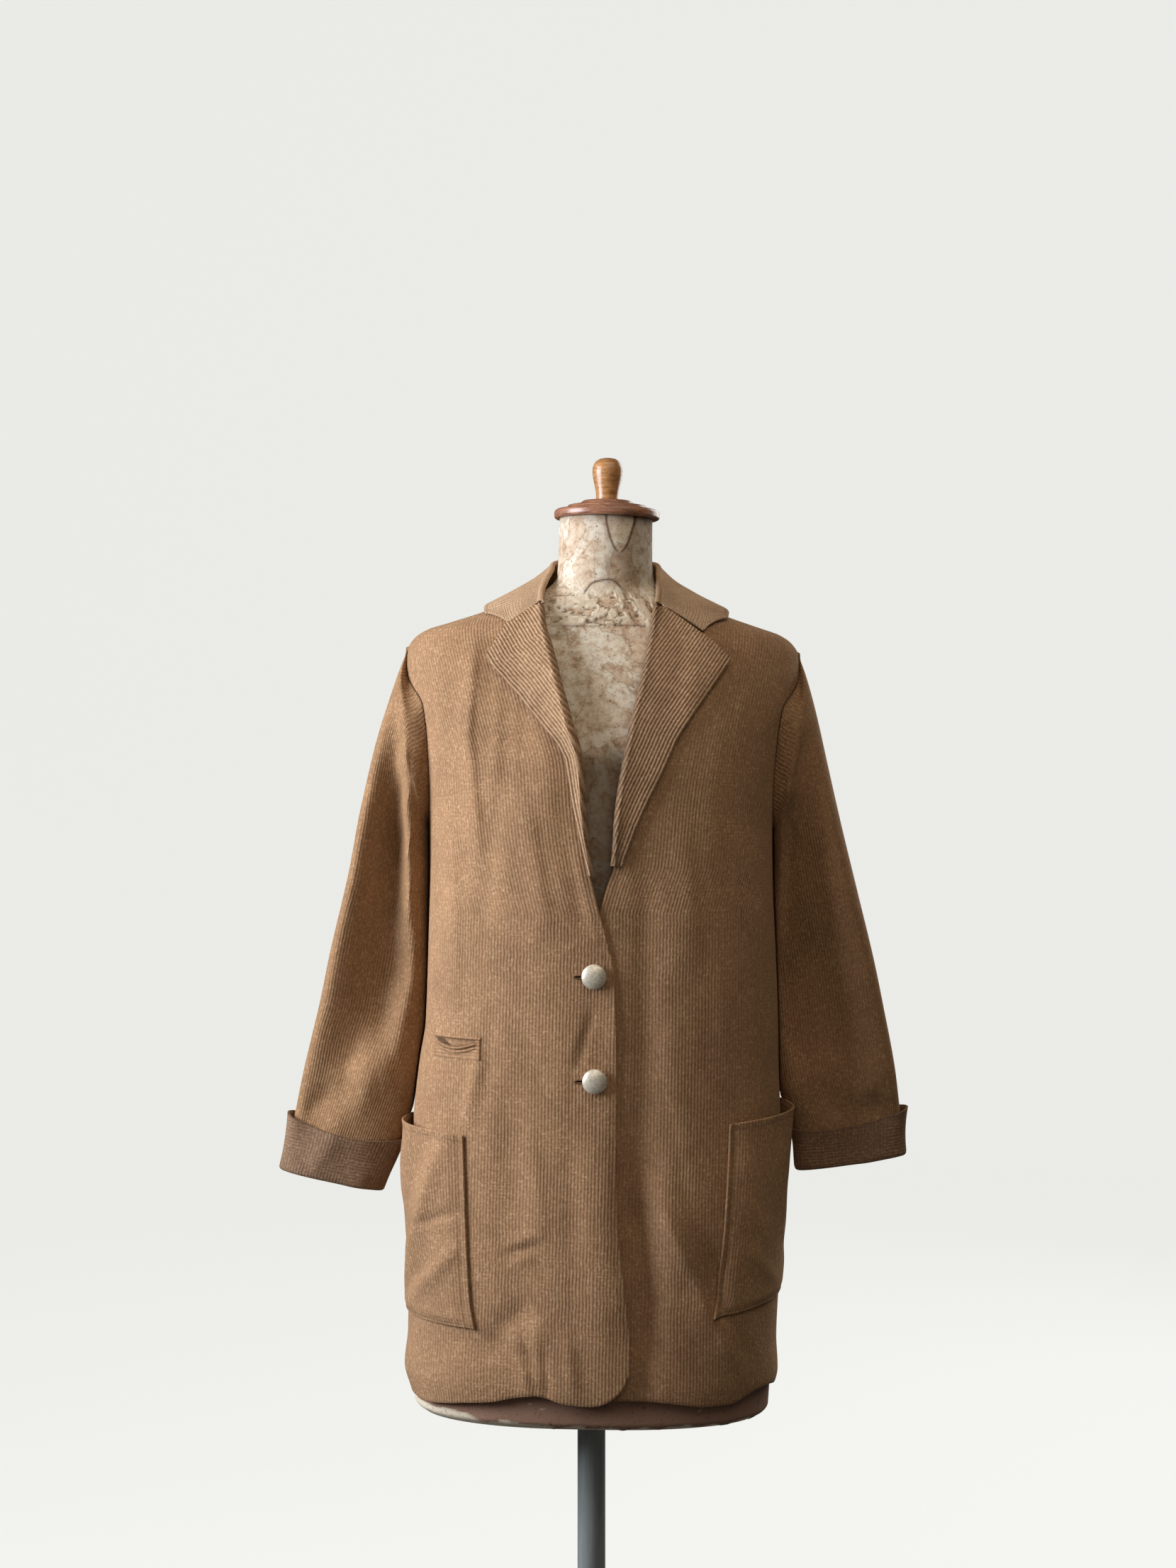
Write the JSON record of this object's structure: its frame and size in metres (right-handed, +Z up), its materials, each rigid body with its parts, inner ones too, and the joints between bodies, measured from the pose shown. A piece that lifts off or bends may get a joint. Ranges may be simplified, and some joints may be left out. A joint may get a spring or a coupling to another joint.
{
  "type": "knit cardigan on a dress form",
  "caption": "Hip-length knit cardigan with notched lapels, turned-back cuffs and patch pockets, buttoned on a limbless dress form on a pole stand.",
  "frame": {"origin": "centre of the round base's underside, on the pole's axis", "axes": "+Z up along the pole, -Y out of the cardigan's buttoned front, +X to the right as the front is seen"},
  "size_m": [0.6537, 0.32, 1.5471],
  "materials": {
    "wool_knit": "camel-brown wool knit, soft and matt",
    "wool_rib": "camel-brown wool rib, matt",
    "papier_mache": "aged papier-mache, mottled and stained",
    "turned_wood": "turned wood, red-brown varnish",
    "button_metal": "pale silver-grey metal, worn satin",
    "pole_steel": "plain steel tube, satin",
    "base_iron": "painted cast iron, dark grey"
  },
  "bodies": {
    "root": {"base": "base_iron", "pole": "pole_steel", "form": "papier_mache", "form_cap": "turned_wood", "form_knob": "turned_wood", "back": "wool_knit", "front_lapping_over": "wool_knit", "front_lapping_under": "wool_knit", "lapel_over": "wool_rib", "lapel_under": "wool_rib", "collar": "wool_knit", "patch_pocket_left": "wool_knit", "patch_pocket_right": "wool_knit", "ticket_pocket": "wool_rib", "sleeve_left": "wool_knit", "sleeve_right": "wool_knit", "cuff_left": "wool_knit", "cuff_right": "wool_knit", "button_upper": "button_metal", "button_lower": "button_metal"}
  },
  "joints": []
}
